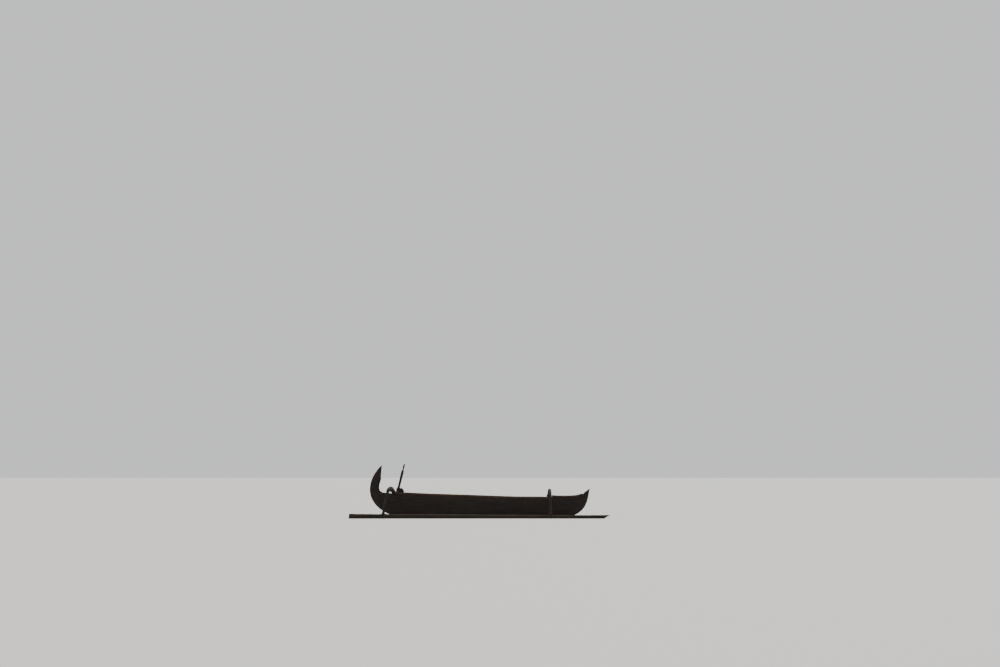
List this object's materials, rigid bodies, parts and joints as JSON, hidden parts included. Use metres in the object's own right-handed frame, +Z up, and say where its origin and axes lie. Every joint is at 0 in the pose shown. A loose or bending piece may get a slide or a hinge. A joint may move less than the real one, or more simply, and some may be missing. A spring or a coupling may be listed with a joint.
{
  "type": "outrigger canoe",
  "caption": "Dugout canoe with washstrakes, a tall crescent stern, a low upturned bow, arched booms to a single starboard float and a steering oar lashed at the port quarter.",
  "frame": {"origin": "on the still waterline, amidships on the hull's centreline", "axes": "+X forward along the hull to the bow, +Y to port, +Z up; the float is on the -Y side"},
  "size_m": [6.7628, 2.2323, 2.1217],
  "materials": {
    "tarred_wood": "matte",
    "strake_wood": "matte",
    "rail_wood": "satin",
    "bare_wood": "matte",
    "boom_wood": "matte",
    "float_wood": "matte",
    "oar_wood": "satin",
    "cord": "matte"
  },
  "bodies": {
    "canoe": {"hull_log": "tarred_wood", "stern_block": "tarred_wood", "bow_block": "tarred_wood", "stern_crescent": "tarred_wood", "strake_port": "strake_wood", "strake_starboard": "strake_wood", "rail_port": "rail_wood", "rail_starboard": "rail_wood", "bow_deck": "rail_wood", "thwart_1": "bare_wood", "thwart_2": "bare_wood", "thwart_3": "bare_wood", "thwart_4": "bare_wood", "frame_1": "bare_wood", "frame_2": "bare_wood", "frame_3": "bare_wood", "frame_4": "bare_wood", "tie_beam_rear": "bare_wood", "tie_beam_front": "bare_wood", "oar_crutch": "bare_wood", "boom_rear": "boom_wood", "boom_front": "boom_wood", "float": "float_wood", "lashing_hull_rear": "cord", "lashing_hull_front": "cord", "lashing_float_rear": "cord", "lashing_float_front": "cord"},
    "steering_oar": {"oar_shaft": "oar_wood", "oar_blade": "oar_wood", "oar_collar": "cord"}
  },
  "joints": [
    {"name": "steering", "type": "hinge", "parent": "canoe", "child": "steering_oar", "pos_m": [-2.2545, 0.235, 0.71], "axis": [0.2319, 0, 0.9727], "range_deg": [-40, 40]}
  ]
}
